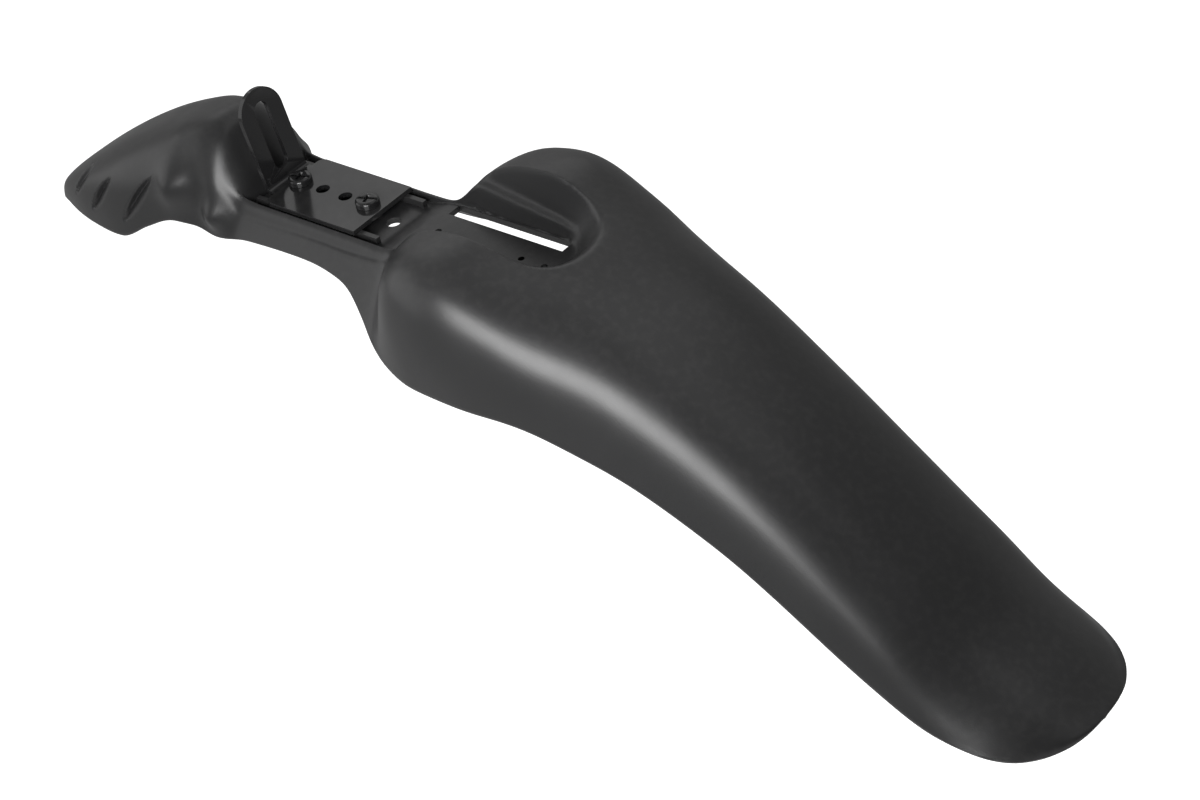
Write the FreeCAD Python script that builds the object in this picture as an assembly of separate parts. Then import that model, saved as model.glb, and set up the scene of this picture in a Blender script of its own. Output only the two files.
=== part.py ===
import FreeCAD, Part
import math
import os

# Short front mudguard for a bicycle with a suspension fork, in millimetres.
# Frame: the origin is the middle of the bracket foot's top face, between the tray rims.
# +X runs to the tail, +Z is up, and the guard is the same on both sides of the XZ plane.

Vector = FreeCAD.Vector

# Wall of the moulding
wall = 2.5

# Reach of the moulding fore and aft of the origin
nose_reach = 163.0
tail_reach = 330.5
tip_half_width = 6.0

# Nose hood
hood_peak_x = -59.0
hood_peak_z = 25.0
hood_half_width = 33.0
nose_tip_z = -33.0
nose_edge_z = -31.0
notch_x = -68.0
notch_edge_z = -14.5

# Waist with the tray
scoop_foot_x = -41.0
waist_half_width = 26.0
waist_edge_z = -14.0
rim_half_width = 21.5
tray_half_width = 17.4
tray_floor_z = -4.7
rim_z = 0.3

# Shoulder lobes behind the fork crown
lobe_start_x = 42.0
lobe_x = 92.0
lobe_crest_z = 22.5
lobe_half_width = 57.0
lobe_edge_z = -27.5

# Tail
tail_half_width = 42.0
tail_tip_z = -117.0

# Pocket between the lobes
pocket_floor_z = -1.0
pocket_end_x = 132.0
wall_draft = 0.27
ledge_step = 3.0

# Strap slots at the foot of the pocket walls
slot_start_x = 48.0
slot_end_x = 104.0
slot_width = 6.0
slot_outer_y = 16.3

# Holes in the tray and pocket floor: the tray has one more than the bracket, at the same pitch
tray_holes = 5
tray_hole_diameter = 6.0
drain_hole_xs = (52.0, 93.0, 104.0)
drain_hole_diameter = 2.6

# Support ribs under the bracket foot
rib_width = 2.0
rib_y = 13.2
rib_length = 64.0
rib_end_x = 33.0

# Bracket of bent steel strip
strip = 2.0
foot_length = 47.5
foot_width = 32.6
foot_corner_radius = 3.0
hole_pitch = 12.0
hole_diameter = 5.5
bracket_holes = 4
tab_width = 21.0
tab_height = 39.0
tab_reach = 1.25
tab_lean = 9.5
bend_radius = 2.0
tab_slot_width = 7.0
tab_slot_bottom = 5.0
tab_slot_top = 33.5

# Screws, washers and nuts, M5
thread_diameter = 5.0
screw_length = 16.0
head_diameter = 9.5
head_height = 3.7
head_edge_radius = 1.5
recess_span = 5.4
recess_width = 1.2
recess_depth = 2.2
washer_diameter = 10.0
washer_bore = 5.3
washer_thickness = 1.0
nut_across_flats = 8.0
nut_height = 4.7
thread_clearance = 0.05

# Grooves on the sides of the nose
groove_xs = (-102.0, -122.0, -139.0)
groove_length = 24.0
groove_radius = 2.4
groove_depth = 1.3


def along(points, x):
    """Value at x of a smooth curve through (x, value) points, without overshoot."""
    last = len(points) - 1
    if x <= points[0][0]:
        return points[0][1]
    if x >= points[last][0]:
        return points[last][1]
    slopes = []
    for i in range(last):
        slopes.append((points[i + 1][1] - points[i][1]) / (points[i + 1][0] - points[i][0]))
    tangents = [slopes[0]]
    for i in range(1, last):
        before = slopes[i - 1]
        after = slopes[i]
        if before * after <= 0:
            tangents.append(0.0)
        else:
            tangents.append(2 * before * after / (before + after))
    tangents.append(slopes[-1])
    i = 0
    while x > points[i + 1][0]:
        i += 1
    step = points[i + 1][0] - points[i][0]
    t = (x - points[i][0]) / step
    value = points[i][1] * (1 + 2 * t) * (1 - t) ** 2
    value += tangents[i] * step * t * (1 - t) ** 2
    value += points[i + 1][1] * t * t * (3 - 2 * t)
    value += tangents[i + 1] * step * t * t * (t - 1)
    return value


# Side view of the crest, from the nose tip to the tail tip
crest_line = [
    (-nose_reach, nose_tip_z),
    (-nose_reach + 16, nose_tip_z + 12.5),
    (-nose_reach + 43, nose_tip_z + 29.5),
    (hood_peak_x - 36, hood_peak_z - 16.5),
    (hood_peak_x - 12, hood_peak_z - 4.5),
    (hood_peak_x, hood_peak_z),
    (hood_peak_x + 7, hood_peak_z - 4),
    (scoop_foot_x, rim_z + 2),
    (scoop_foot_x + 12, rim_z),
    (lobe_start_x - 6, rim_z),
    (lobe_start_x + 8, rim_z + 3.5),
    (lobe_x - 32, lobe_crest_z - 10.5),
    (lobe_x - 16, lobe_crest_z - 2),
    (lobe_x, lobe_crest_z),
    (lobe_x + 28, lobe_crest_z - 7.5),
    (lobe_x + 68, lobe_crest_z - 21.5),
    (tail_reach - 125, tail_tip_z + 90.5),
    (tail_reach - 66, tail_tip_z + 43.5),
    (tail_reach - 42, tail_tip_z + 23),
    (tail_reach - 15, tail_tip_z + 7),
    (tail_reach, tail_tip_z),
]

# Side view of the lower edge
edge_line = [
    (-nose_reach, nose_tip_z - 2.2),
    (-nose_reach + 20, nose_edge_z),
    (hood_peak_x - 42, nose_edge_z + 2),
    (hood_peak_x - 24, nose_edge_z + 11),
    (notch_x, notch_edge_z),
    (notch_x + 16, notch_edge_z - 2.6),
    (scoop_foot_x + 12, waist_edge_z),
    (5, waist_edge_z + 1.4),
    (lobe_start_x - 17, waist_edge_z - 2),
    (lobe_start_x + 6, lobe_edge_z - 2.5),
    (lobe_x - 22, lobe_edge_z + 0.8),
    (lobe_x + 28, lobe_edge_z - 1),
    (lobe_x + 68, lobe_edge_z - 11.5),
    (tail_reach - 125, tail_tip_z + 56),
    (tail_reach - 66, tail_tip_z + 15),
    (tail_reach - 42, tail_tip_z + 2),
    (tail_reach - 14, tail_tip_z - 4.8),
    (tail_reach, tail_tip_z - 3.6),
]

# Plan view of the lower edge, half width
edge_plan = [
    (-nose_reach, tip_half_width),
    (-nose_reach + 6, tip_half_width + 8),
    (-nose_reach + 16, hood_half_width - 12),
    (-nose_reach + 43, hood_half_width - 3),
    (hood_peak_x - 39, hood_half_width),
    (notch_x, hood_half_width - 2.5),
    (scoop_foot_x, waist_half_width),
    (5, waist_half_width + 1),
    (lobe_start_x - 17, waist_half_width + 3),
    (lobe_start_x + 6, lobe_half_width - 16),
    (lobe_x - 32, lobe_half_width - 8),
    (lobe_x - 10, lobe_half_width - 1),
    (lobe_x + 10, lobe_half_width - 0.5),
    (lobe_x + 48, lobe_half_width - 5.5),
    (lobe_x + 88, tail_half_width + 4.5),
    (tail_reach - 96, tail_half_width + 1),
    (tail_reach - 42, tail_half_width - 1.5),
    (tail_reach - 28, tail_half_width - 4),
    (tail_reach - 14, tail_half_width - 11),
    (tail_reach - 5, tail_half_width - 22),
    (tail_reach, tip_half_width),
]

# Plan view of the shoulder, half width
shoulder_plan = [
    (-nose_reach, tip_half_width - 1),
    (-nose_reach + 6, tip_half_width + 7),
    (-nose_reach + 16, hood_half_width - 13.5),
    (-nose_reach + 43, hood_half_width - 6),
    (hood_peak_x - 39, hood_half_width - 4),
    (notch_x, hood_half_width - 6.5),
    (hood_peak_x + 8, rim_half_width),
    (scoop_foot_x, rim_half_width),
    (lobe_start_x - 12, rim_half_width + 0.3),
    (lobe_start_x + 6, lobe_half_width - 27),
    (lobe_x - 32, lobe_half_width - 16),
    (lobe_x - 17, lobe_half_width - 8),
    (lobe_x, lobe_half_width - 5),
    (lobe_x + 28, lobe_half_width - 8),
    (lobe_x + 68, tail_half_width),
    (tail_reach - 96, tail_half_width - 5),
    (tail_reach - 42, tail_half_width - 5),
    (tail_reach - 28, tail_half_width - 6),
    (tail_reach - 14, tail_half_width - 12.5),
    (tail_reach - 5, tail_half_width - 23),
    (tail_reach, tip_half_width - 1),
]

# How far the shoulder lies below the crest
shoulder_drop = [
    (-nose_reach, 1.0),
    (-nose_reach + 43, 6.0),
    (hood_peak_x - 15, 8.5),
    (hood_peak_x + 8, 10.0),
    (scoop_foot_x, 0.8),
    (scoop_foot_x + 12, 0.0),
    (lobe_start_x + 6, 0.3),
    (lobe_x, 3.6),
    (lobe_x + 28, 6.5),
    (lobe_x + 48, 10.0),
    (tail_reach - 66, 10.5),
    (tail_reach - 42, 12.5),
    (tail_reach - 14, 6.5),
    (tail_reach, 1.0),
]

# How much of the height from the edge to the shoulder the skirt corner takes
skirt_share = [
    (-nose_reach, 0.5),
    (-nose_reach + 43, 0.45),
    (notch_x, 0.4),
    (scoop_foot_x, 0.7),
    (lobe_start_x - 17, 0.7),
    (lobe_x - 32, 0.52),
    (lobe_x + 28, 0.5),
    (tail_reach - 66, 0.4),
    (tail_reach, 0.5),
]

# Plan view of the skirt corner: how far it stands out from the shoulder
skirt_stand = [
    (-nose_reach, 0.5),
    (-nose_reach + 43, 3.0),
    (notch_x, 4.0),
    (scoop_foot_x, 1.0),
    (lobe_start_x - 17, 1.8),
    (lobe_start_x + 6, 6.0),
    (lobe_x, 5.0),
    (lobe_x + 68, 4.0),
    (tail_reach - 66, 3.5),
    (tail_reach - 28, 1.5),
    (tail_reach, 0.5),
]


def section_corners(x):
    """Right half of the moulding's outer section at x, as (y, z) corners from crest to edge."""
    crest_z = along(crest_line, x)
    shoulder_y = along(shoulder_plan, x)
    shoulder_z = crest_z - along(shoulder_drop, x)
    edge_z = along(edge_line, x)
    skirt_z = edge_z + (shoulder_z - edge_z) * along(skirt_share, x)
    skirt_y = shoulder_y + along(skirt_stand, x)
    edge_y = along(edge_plan, x)
    return [(0.0, crest_z), (shoulder_y / 2, crest_z), (shoulder_y, shoulder_z), (skirt_y, skirt_z), (edge_y, edge_z)]


def crest_slope(x):
    """Rise of the crest for each millimetre of run."""
    reach = 2.0
    return (along(crest_line, x + reach) - along(crest_line, x - reach)) / (2 * reach)


def section_wire(x, corners):
    """Closed section at x: a smooth curve over the corners and a straight line back below."""
    right = [Vector(x, y, z) for y, z in corners]
    left = [Vector(x, -y, z) for y, z in corners[1:]]
    left.reverse()
    poles = left + right
    spans = len(poles) - 3
    knots = list(range(spans + 1))
    multiplicities = [4] + [1] * (spans - 1) + [4]
    curve = Part.BSplineCurve()
    curve.buildFromPolesMultsKnots(poles, multiplicities, knots, False, 3)
    return Part.Wire([curve.toShape(), Part.makeLine(poles[-1], poles[0])])


def station_places():
    """Places of the sections along the guard, closer together where the form changes fast."""
    fixed = [-nose_reach, -nose_reach + 3, -nose_reach + 8, -nose_reach + 16, -nose_reach + 28, -nose_reach + 43]
    fixed += [hood_peak_x - 39, hood_peak_x - 26, hood_peak_x - 12, hood_peak_x, hood_peak_x + 7]
    fixed += [scoop_foot_x, scoop_foot_x + 8, scoop_foot_x + 24, 5, lobe_start_x - 17, lobe_start_x - 6]
    fixed += [lobe_start_x + 4, lobe_start_x + 14, lobe_x - 22, lobe_x - 8, lobe_x + 8, lobe_x + 28, lobe_x + 48]
    fixed += [lobe_x + 68, lobe_x + 88, tail_reach - 125, tail_reach - 96, tail_reach - 66, tail_reach - 42]
    fixed += [tail_reach - 28, tail_reach - 14, tail_reach - 5, tail_reach - 1.5, tail_reach]
    return fixed


def outer_body():
    """The whole outside of the moulding as one filled body, before the tray and pocket are sunk in."""
    return Part.makeLoft([section_wire(x, section_corners(x)) for x in station_places()], True, False)


def inner_body():
    """The space below the moulding's wall, carried on below the lower edge so that it opens there."""
    below = 20.0
    wires = []
    for x in station_places():
        reach = tail_reach if x > 0 else nose_reach
        inner_x = x * (reach - wall) / reach
        corners = section_corners(x)
        drop = wall * math.sqrt(1 + crest_slope(x) ** 2)
        crest_y, crest_z = corners[0]
        half_y, half_z = corners[1]
        shoulder_y, shoulder_z = corners[2]
        skirt_y, skirt_z = corners[3]
        edge_y, edge_z = corners[4]
        flare = (edge_y - skirt_y) / max(skirt_z - edge_z, 1.0)
        inset = [
            (0.0, crest_z - drop),
            ((shoulder_y - wall) / 2, crest_z - drop),
            (shoulder_y - wall, shoulder_z - drop),
            (skirt_y - wall, min(skirt_z, shoulder_z - drop - 0.5)),
            (edge_y - wall + flare * below, edge_z - below),
        ]
        wires.append(section_wire(inner_x, inset))
    return Part.makeLoft(wires, True, False)


def plan_outline(z, half_width, end_half_width, front_x, taper_x, end_x):
    """Closed outline at height z: a channel that tapers to a rounded end."""
    corner = 6.0
    nose_left = Vector(front_x, -half_width + corner, z)
    nose_right = Vector(front_x, half_width - corner, z)
    left_start = Vector(front_x + corner, -half_width, z)
    right_start = Vector(front_x + corner, half_width, z)
    left_taper = Vector(taper_x, -half_width, z)
    right_taper = Vector(taper_x, half_width, z)
    bend = 0.72
    left_mid = Vector(taper_x + (end_x - taper_x) * bend, -end_half_width * bend, z)
    right_mid = Vector(taper_x + (end_x - taper_x) * bend, end_half_width * bend, z)
    tip = Vector(end_x, 0, z)
    corner_out = corner * (1 - math.sqrt(0.5))
    left_corner = Vector(front_x + corner_out, -half_width + corner_out, z)
    right_corner = Vector(front_x + corner_out, half_width - corner_out, z)
    end_curve = Part.BSplineCurve()
    end_curve.interpolate(
        Points=[left_taper, left_mid, tip, right_mid, right_taper],
        InitialTangent=Vector(1, 0, 0),
        FinalTangent=Vector(-1, 0, 0),
    )
    edges = [
        Part.makeLine(nose_right, nose_left),
        Part.Arc(nose_left, left_corner, left_start).toShape(),
        Part.makeLine(left_start, left_taper),
        end_curve.toShape(),
        Part.makeLine(right_taper, right_start),
        Part.Arc(right_start, right_corner, nose_right).toShape(),
    ]
    return Part.Wire(edges)


def drafted_channel(bottom_z, top_z, half_width, front_x, front_slope, taper_x, end_x, end_slope):
    """A channel whose walls lean outward as they rise."""
    rise = top_z - bottom_z
    low = plan_outline(bottom_z, half_width, half_width, front_x, taper_x, end_x)
    high_half = half_width + wall_draft * rise
    high = plan_outline(top_z, high_half, high_half, front_x - front_slope * rise, taper_x, end_x + end_slope * rise)
    return Part.makeLoft([low, high], True, True)


def recess(grow):
    """The tray and pocket as a filled body; grow moves its walls and floor outward by that much."""
    top_z = 40.0
    floor_z = tray_floor_z - grow
    side_grow = grow * math.sqrt(1 + wall_draft ** 2)
    low_half = tray_half_width + wall_draft * (floor_z - rim_z) + side_grow
    low_end = pocket_end_x - 26 + side_grow
    body = drafted_channel(floor_z, top_z, low_half, scoop_foot_x + 5 - side_grow, 0.62, 74, low_end, 1.05)

    # Upper part of the pocket, set back behind a ledge that falls to the rear
    upper_low = tray_half_width + ledge_step + wall_draft * (pocket_floor_z - rim_z) + side_grow
    upper = drafted_channel(pocket_floor_z - grow, top_z, upper_low, 46 - side_grow, 0.1, 66, low_end + 5, 0.95)
    side = [
        Vector(30, -80, 12.5 - grow),
        Vector(60, -80, 10.0 - grow),
        Vector(pocket_end_x - 18, -80, 1.5 - grow),
        Vector(pocket_end_x + 60, -80, 1.5 - grow),
        Vector(pocket_end_x + 60, -80, top_z + 10),
        Vector(30, -80, top_z + 10),
    ]
    above_ledge = Part.Face(Part.makePolygon(side + [side[0]])).extrude(Vector(0, 160, 0))
    body = body.fuse(upper.common(above_ledge))

    # The floor climbs over a crest from the tray into the pocket
    crest_x = lobe_start_x + 4
    ramp = [
        Vector(crest_x - 9 + grow * 0.5, -80, tray_floor_z - grow - 5),
        Vector(crest_x - 9 + grow * 0.5, -80, tray_floor_z - grow),
        Vector(crest_x + grow * 0.5, -80, rim_z - 0.6 - grow),
        Vector(crest_x + 6, -80, pocket_floor_z - grow),
        Vector(pocket_end_x + 60, -80, pocket_floor_z - grow),
        Vector(pocket_end_x + 60, -80, tray_floor_z - grow - 5),
    ]
    step = Part.Face(Part.makePolygon(ramp + [ramp[0]])).extrude(Vector(0, 160, 0))
    return body.cut(step)


def rim_backing():
    """Material that ties each tray wall to the skirt beside it."""
    low_z = tray_floor_z - wall
    length = lobe_start_x - scoop_foot_x
    return Part.makeBox(length, 2 * rim_half_width - 2, rim_z - 1 - low_z, Vector(scoop_foot_x, 1 - rim_half_width, low_z))


def screw_places():
    """Places of the two screws: the first and the last hole of the bracket foot."""
    first = -(bracket_holes - 1) * hole_pitch / 2 - 1.75
    return first, first + (bracket_holes - 1) * hole_pitch


def screw_seats():
    """Round seats that carry the bracket foot above the tray floor at each screw."""
    seats = []
    for x in screw_places():
        depth = -strip - tray_floor_z
        seats.append(Part.makeCylinder(washer_diameter / 2, depth + wall / 2, Vector(x, 0, tray_floor_z - wall / 2)))
    return seats


def support_ribs():
    """Two low ribs on the tray floor under the long edges of the bracket foot."""
    ribs = []
    height = -strip - tray_floor_z
    for side in (-1, 1):
        corner = Vector(rib_end_x - rib_length, side * rib_y - rib_width / 2, tray_floor_z - wall / 2)
        ribs.append(Part.makeBox(rib_length, rib_width, height + wall / 2, corner))
    return ribs


def strap_slots():
    """The slots along the foot of both pocket walls."""
    slots = []
    for side in (-1, 1):
        low_y = slot_outer_y - slot_width if side > 0 else -slot_outer_y
        slots.append(Part.makeBox(slot_end_x - slot_start_x, slot_width, 20, Vector(slot_start_x, low_y, -14)))
    return slots


def floor_holes():
    """The row of tray holes and the drain holes, all through the floor."""
    holes = []
    for i in range(tray_holes):
        x = screw_places()[0] + i * hole_pitch
        holes.append(Part.makeCylinder(tray_hole_diameter / 2, 30, Vector(x, 0, -20)))
    for x in drain_hole_xs:
        holes.append(Part.makeCylinder(drain_hole_diameter / 2, 30, Vector(x, 0, -20)))
    return holes


def groove_cutters():
    """Pointed spindles that leave a lens-shaped groove in the side of the nose."""
    cutters = []
    half = groove_length / 2
    tip_low = Vector(0, 0, -half)
    tip_high = Vector(0, 0, half)
    belly = Part.Arc(tip_low, Vector(groove_radius, 0, 0), tip_high).toShape()
    face = Part.Face(Part.Wire([belly, Part.makeLine(tip_high, tip_low)]))
    spindle = face.revolve(Vector(0, 0, 0), Vector(0, 0, 1), 360)
    for x in groove_xs:
        corners = section_corners(x)
        skirt_y, skirt_z = corners[3]
        shoulder_y, shoulder_z = corners[2]
        side_y = (skirt_y + shoulder_y) / 2
        side_z = (skirt_z + shoulder_z) / 2
        lean = math.degrees(math.atan2(skirt_y - shoulder_y, shoulder_z - skirt_z))
        for side in (-1, 1):
            cutter = spindle.copy()
            cutter.rotate(Vector(0, 0, 0), Vector(1, 0, 0), side * lean)
            cutter.rotate(Vector(0, 0, 0), Vector(0, 1, 0), 22)
            cutter.translate(Vector(x, side * (side_y + groove_radius - groove_depth), side_z))
            cutters.append(cutter)
    return cutters


def mudguard_shell():
    """The moulding: outer body, hollowed from below, with tray and pocket sunk in from above."""
    lining = recess(wall).fuse(rim_backing())
    hollow = inner_body().cut(lining)
    shell = outer_body().cut(hollow)
    shell = shell.cut(recess(0))
    shell = shell.fuse(screw_seats() + support_ribs())
    shell = shell.cut(strap_slots() + floor_holes() + groove_cutters())
    return shell


def rounded_slot(width, low, high, depth):
    """A slot with round ends in the YZ plane, from low to high, as deep as depth along X."""
    radius = width / 2
    bar = Part.makeBox(depth, width, high - low - width, Vector(0, -radius, low + radius))
    bottom = Part.makeCylinder(radius, depth, Vector(0, 0, low + radius), Vector(1, 0, 0))
    top = Part.makeCylinder(radius, depth, Vector(0, 0, high - radius), Vector(1, 0, 0))
    return bar.fuse([bottom, top])


def fork_bracket():
    """Steel strip with a flat foot and a narrower slotted tab bent up at the nose end."""
    foot = Part.makeBox(foot_length, foot_width, strip, Vector(-foot_length / 2, -foot_width / 2, -strip))
    front_edges = []
    for edge in foot.Edges:
        middle = edge.CenterOfMass
        if abs(edge.Length - strip) < 1e-6 and middle.x < 0:
            front_edges.append(edge)
    foot = foot.makeFillet(foot_corner_radius, front_edges)
    # The bend starts on a short tongue in front of the foot, clear of the screw head
    bend_x = -foot_length / 2 - tab_reach
    tongue = Part.makeBox(tab_reach + strip, tab_width, strip, Vector(bend_x, -tab_width / 2, -strip))
    outer = bend_radius + strip
    sweep = 90 + tab_lean
    profile_low = Vector(bend_x, -tab_width / 2, -strip)
    bend_face = Part.Face(Part.makePolygon([
        profile_low,
        profile_low + Vector(0, tab_width, 0),
        profile_low + Vector(0, tab_width, strip),
        profile_low + Vector(0, 0, strip),
        profile_low,
    ]))
    pivot = Vector(bend_x, 0, bend_radius)
    bend = bend_face.revolve(pivot, Vector(0, 1, 0), sweep)
    straight = tab_height - bend_radius
    tab = Part.makeBox(strip, tab_width, straight - tab_width / 2, Vector(0, -tab_width / 2, 0))
    tab = tab.fuse(Part.makeCylinder(tab_width / 2, strip, Vector(0, 0, straight - tab_width / 2), Vector(1, 0, 0)))
    tab = tab.cut(rounded_slot(tab_slot_width, tab_slot_bottom - bend_radius, tab_slot_top - bend_radius, strip))
    tab.translate(Vector(bend_x - outer, 0, bend_radius))
    tab.rotate(pivot, Vector(0, 1, 0), -tab_lean)
    bracket = foot.fuse([tongue, bend, tab])
    first = screw_places()[0]
    holes = []
    for i in range(bracket_holes):
        holes.append(Part.makeCylinder(hole_diameter / 2, 4 * strip, Vector(first + i * hole_pitch, 0, -2 * strip)))
    return bracket.cut(holes).removeSplitter()


def screw(x):
    """Pan head screw with a cross recess crossed by a full slot, head on the bracket foot."""
    head = Part.makeCylinder(head_diameter / 2, head_height, Vector(x, 0, 0))
    top_edge = [edge for edge in head.Edges if abs(edge.BoundBox.ZMin - head_height) < 1e-6 and edge.Closed]
    head = head.makeFillet(head_edge_radius, top_edge)
    shank = Part.makeCylinder(thread_diameter / 2, screw_length, Vector(x, 0, -screw_length))
    tip_edge = [edge for edge in shank.Edges if abs(edge.BoundBox.ZMax + screw_length) < 1e-6 and edge.Closed]
    shank = shank.makeChamfer(thread_diameter / 12, tip_edge)
    body = head.fuse(shank)
    floor_z = head_height - recess_depth
    for angle in (20, 110):
        bar = Part.makeBox(recess_span, recess_width, recess_depth + 1, Vector(-recess_span / 2, -recess_width / 2, floor_z))
        bar.rotate(Vector(0, 0, 0), Vector(0, 0, 1), angle)
        bar.translate(Vector(x, 0, 0))
        body = body.cut(bar)
    return body.removeSplitter()


def washer(x):
    """Plain washer under the tray floor."""
    low_z = tray_floor_z - wall - washer_thickness
    ring = Part.makeCylinder(washer_diameter / 2, washer_thickness, Vector(x, 0, low_z))
    return ring.cut(Part.makeCylinder(washer_bore / 2, washer_thickness, Vector(x, 0, low_z)))


def nut(x):
    """Hexagon nut under the washer, with chamfered corners."""
    high_z = tray_floor_z - wall - washer_thickness
    low_z = high_z - nut_height
    corner_radius = nut_across_flats / math.sqrt(3)
    corners = []
    for i in range(7):
        angle = math.radians(60 * i)
        corners.append(Vector(x + corner_radius * math.cos(angle), corner_radius * math.sin(angle), low_z))
    prism = Part.Face(Part.makePolygon(corners)).extrude(Vector(0, 0, nut_height))
    chamfer = corner_radius - nut_across_flats / 2
    rise = chamfer * math.tan(math.radians(30))
    barrel = Part.makeCylinder(corner_radius, nut_height - 2 * rise, Vector(x, 0, low_z + rise))
    flat_radius = nut_across_flats / 2
    lower = Part.makeCone(flat_radius, corner_radius, rise, Vector(x, 0, low_z))
    upper = Part.makeCone(corner_radius, flat_radius, rise, Vector(x, 0, high_z - rise))
    body = prism.common(barrel.fuse([lower, upper]))
    bore = Part.makeCylinder(thread_diameter / 2 + thread_clearance, nut_height, Vector(x, 0, low_z))
    return body.cut(bore).removeSplitter()


def build():
    """Write one STEP file for each piece."""
    front_x, rear_x = screw_places()
    pieces = {
        "mudguard_shell": mudguard_shell(),
        "fork_bracket": fork_bracket(),
        "front_screw": screw(front_x),
        "rear_screw": screw(rear_x),
        "front_washer": washer(front_x),
        "rear_washer": washer(rear_x),
        "front_nut": nut(front_x),
        "rear_nut": nut(rear_x),
    }
    os.makedirs("parts", exist_ok=True)
    for name, shape in pieces.items():
        shape.exportStep("parts/" + name + ".step")
        print(name, "solids", len(shape.Solids), "valid", shape.isValid(), "volume", round(shape.Volume, 1))


build()
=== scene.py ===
import bpy
import bmesh
import math
import numpy as np
from mathutils import Matrix, Vector


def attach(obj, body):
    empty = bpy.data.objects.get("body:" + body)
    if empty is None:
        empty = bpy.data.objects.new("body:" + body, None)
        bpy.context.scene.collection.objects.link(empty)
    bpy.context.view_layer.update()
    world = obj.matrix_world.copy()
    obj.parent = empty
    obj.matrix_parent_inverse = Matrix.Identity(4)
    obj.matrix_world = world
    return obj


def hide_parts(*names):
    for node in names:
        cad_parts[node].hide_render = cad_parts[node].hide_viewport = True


# A short front mudguard for a suspension fork: satin black moulding, gloss black bracket and screws.
# Forms are worked out in millimetres and written to the meshes in metres.

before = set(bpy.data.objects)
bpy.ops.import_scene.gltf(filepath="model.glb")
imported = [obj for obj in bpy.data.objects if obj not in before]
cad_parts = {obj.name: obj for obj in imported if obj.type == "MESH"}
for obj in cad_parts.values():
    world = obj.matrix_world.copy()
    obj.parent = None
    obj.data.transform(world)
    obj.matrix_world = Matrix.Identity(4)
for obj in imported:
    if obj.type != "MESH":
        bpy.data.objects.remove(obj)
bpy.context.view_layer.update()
MM = 0.001

# Wall and reach of the moulding
WALL = 2.5
NOSE_REACH = 163.0
TAIL_REACH = 330.5

# Tray and pocket
TRAY_FLOOR = -4.7
TRAY_FRONT_X = -33
TRAY_FRONT_SLOPE = 0.3
POCKET_FLOOR = -1.6
POCKET_CREST_X = 43.0
POCKET_RAMP = 9
WALL_DRAFT = 0.12
WALL_GROWTH = 1.03
FLOOR_ROUNDING = 1.6
RECESS_REACH = (-60, 145)
RECESS_HALF_WIDTH = 32
RECESS_EDGE_OUTSIDE = 4.0
RECESS_EDGE_INSIDE = 1.5

# Walls below and above the pocket's ledge:
# (half width, where it starts to close in, rear end, slope of the end, squareness of the end)
LOWER_WALL = (17.2, 92, 112.6, 0.95, 4.5)
UPPER_WALL = (19.8, 88, 113.5, 0.97, 3.8)

# Ledge along the pocket's walls: its height at one place, its fall to the rear and its tilt inwards
LEDGE_HEIGHT = 9.0
LEDGE_X = 60
LEDGE_Y = 18.2
LEDGE_FALL = 0.131
LEDGE_TILT = 0.75
LEDGE_ROUNDING_ABOVE = 4.0
LEDGE_ROUNDING_BELOW = 4.4

# Supports under the bracket's foot
REST_RADIUS = 5.0
RIB_START = -31
RIB_END = 33
RIB_Y = 13.2
RIB_HALF_WIDTH = 1

# Holes and slots through the floor
HOLE_PITCH = 12.0
FIRST_HOLE = -19.75
TRAY_HOLES = 5
TRAY_HOLE_DIAMETER = 6.0
DRAIN_XS = (52.0, 93.0, 104.0)
DRAIN_DIAMETER = 2.6
SLOT_START = 48.0
SLOT_END = 104.0
SLOT_OUTER = 16.3
SLOT_WIDTH = 6.0

# Driving curves of the moulding from the nose's tip to the tail's: (x, value)
# Height of the crest along the middle
CREST = [
    (-161.8, -34.0), (-158, -30.2), (-147, -21.5), (-120, -4.3), (-95, 9), (-78, 16.8), (-64, 22),
    (-52, 24.4), (-45, 21.5), (-39, 10.5), (-33, 0.8), (-27, -1.0),
    (36, -1.0), (46, -0.4), (53, 5), (60, 12.5), (76, 20.5), (92, 22.5), (120, 15), (160, 1),
    (205.5, -26.5), (264.5, -73.5), (288.5, -94), (315.5, -110.5), (324, -115.5), (329.3, -118.4),
]
# Height of the lower edge
EDGE = [
    (-161.8, -34.2), (-158, -35.0), (-143, -31.5), (-101, -29), (-83, -20), (-68, -14.2), (-60, -15.5),
    (-48, -18.3), (-29, -15.2), (5, -13.4), (25, -15.4), (40, -21.5), (52, -25.6), (70, -26.7),
    (120, -28.5), (160, -39), (205.5, -61), (264.5, -102), (288.5, -115),
    (316.5, -120.4), (325, -119.9), (329.3, -118.6),
]
# Half width at the lower edge
EDGE_PLAN = [
    (-161.8, 0.6), (-161.3, 5.5), (-160, 9.5), (-157, 14), (-147, 21), (-120, 30), (-98, 33), (-76, 31),
    (-64, 28.5), (-55, 26), (-41, 26), (5, 27), (25, 29.5), (40, 37), (52, 45), (70, 53), (82, 56),
    (102, 56.5), (140, 51.5), (180, 46.5), (234.5, 43), (288.5, 41.2),
    (302.5, 39), (312, 35.2), (320, 28.5), (325.5, 20), (328, 13), (329, 6.5), (329.3, 0.6),
]
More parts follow.
